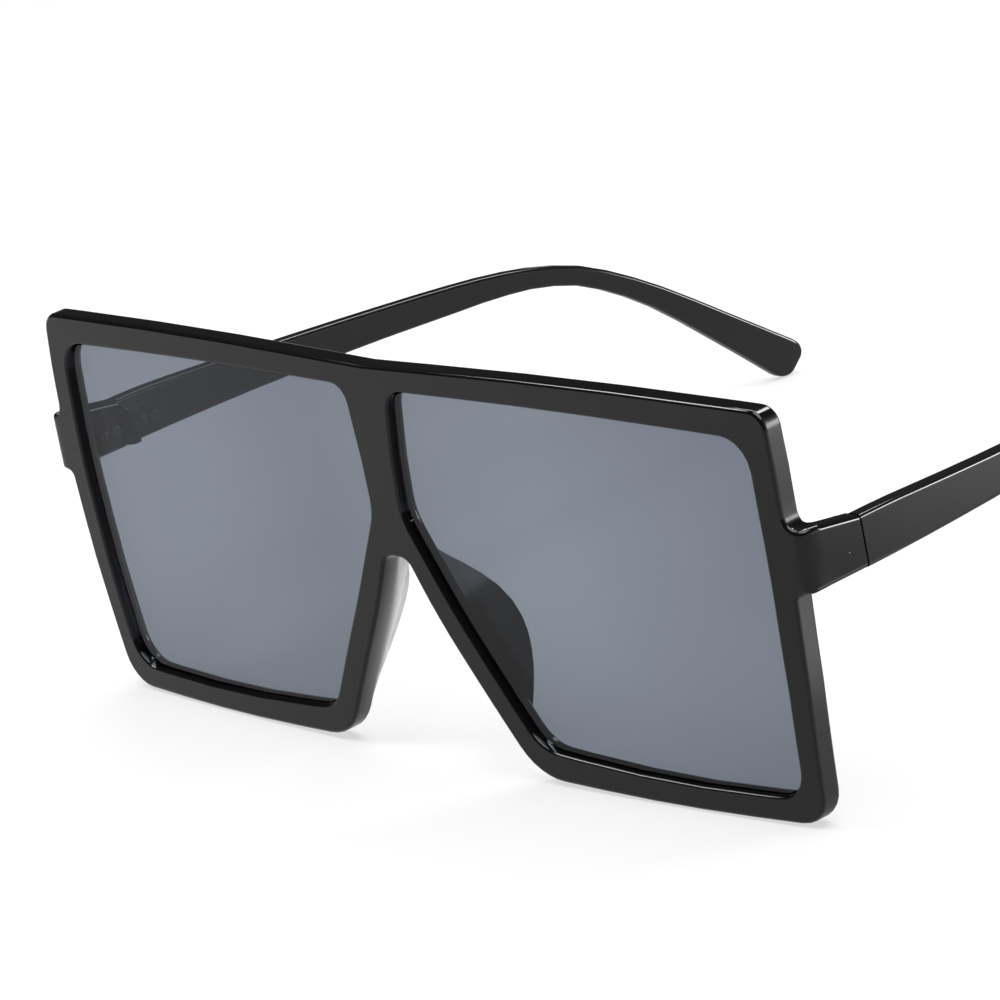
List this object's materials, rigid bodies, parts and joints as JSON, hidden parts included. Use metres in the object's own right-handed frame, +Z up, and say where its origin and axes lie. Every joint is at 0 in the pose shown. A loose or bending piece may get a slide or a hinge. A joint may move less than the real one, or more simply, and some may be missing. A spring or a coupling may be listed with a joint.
{
  "type": "sunglasses",
  "caption": "Square flat-top sunglasses with broad rims, smoke-tinted lenses held in grooves, nose pads moulded on, and temples that fold on screwed-on hinges",
  "frame": {"origin": "Middle of the base of the box around the opened sunglasses, on the table that the rims and the temple tips rest on", "axes": "+X to the wearer's left, along the width of the front; +Y from the front back to the temple tips; +Z up from the table, so the front faces -Y and leans back a little"},
  "size_m": [0.1538, 0.128, 0.0575],
  "materials": {
    "black_gloss_plastic": "polished moulded plastic, soft highlights",
    "smoke_grey_lens": "see-through bluish grey tint, polished both sides",
    "hinge_steel": "dark, slightly worn bare metal",
    "screw_steel": "plain turned metal"
  },
  "bodies": {
    "front": {"front_frame": "black_gloss_plastic", "left_lens": "smoke_grey_lens", "right_lens": "smoke_grey_lens", "left_front_hinge_leaf": "hinge_steel", "left_hinge_screw": "screw_steel", "left_front_leaf_screw_1": "screw_steel", "left_front_leaf_screw_2": "screw_steel", "right_front_hinge_leaf": "hinge_steel", "right_hinge_screw": "screw_steel", "right_front_leaf_screw_1": "screw_steel", "right_front_leaf_screw_2": "screw_steel"},
    "left_temple_arm": {"left_temple": "black_gloss_plastic", "left_temple_hinge_leaf": "hinge_steel", "left_temple_leaf_screw_1": "screw_steel", "left_temple_leaf_screw_2": "screw_steel"},
    "right_temple_arm": {"right_temple": "black_gloss_plastic", "right_temple_hinge_leaf": "hinge_steel", "right_temple_leaf_screw_1": "screw_steel", "right_temple_leaf_screw_2": "screw_steel"}
  },
  "joints": [
    {"name": "left_temple_fold", "type": "hinge", "parent": "front", "child": "left_temple_arm", "pos_m": [0.0723, -0.04962, 0.03549], "axis": [0, 0.0482, 0.9988], "range_deg": [0, 85]},
    {"name": "right_temple_fold", "type": "hinge", "parent": "front", "child": "right_temple_arm", "pos_m": [-0.0723, -0.04962, 0.03549], "axis": [0, -0.0482, -0.9988], "range_deg": [0, 81]}
  ]
}
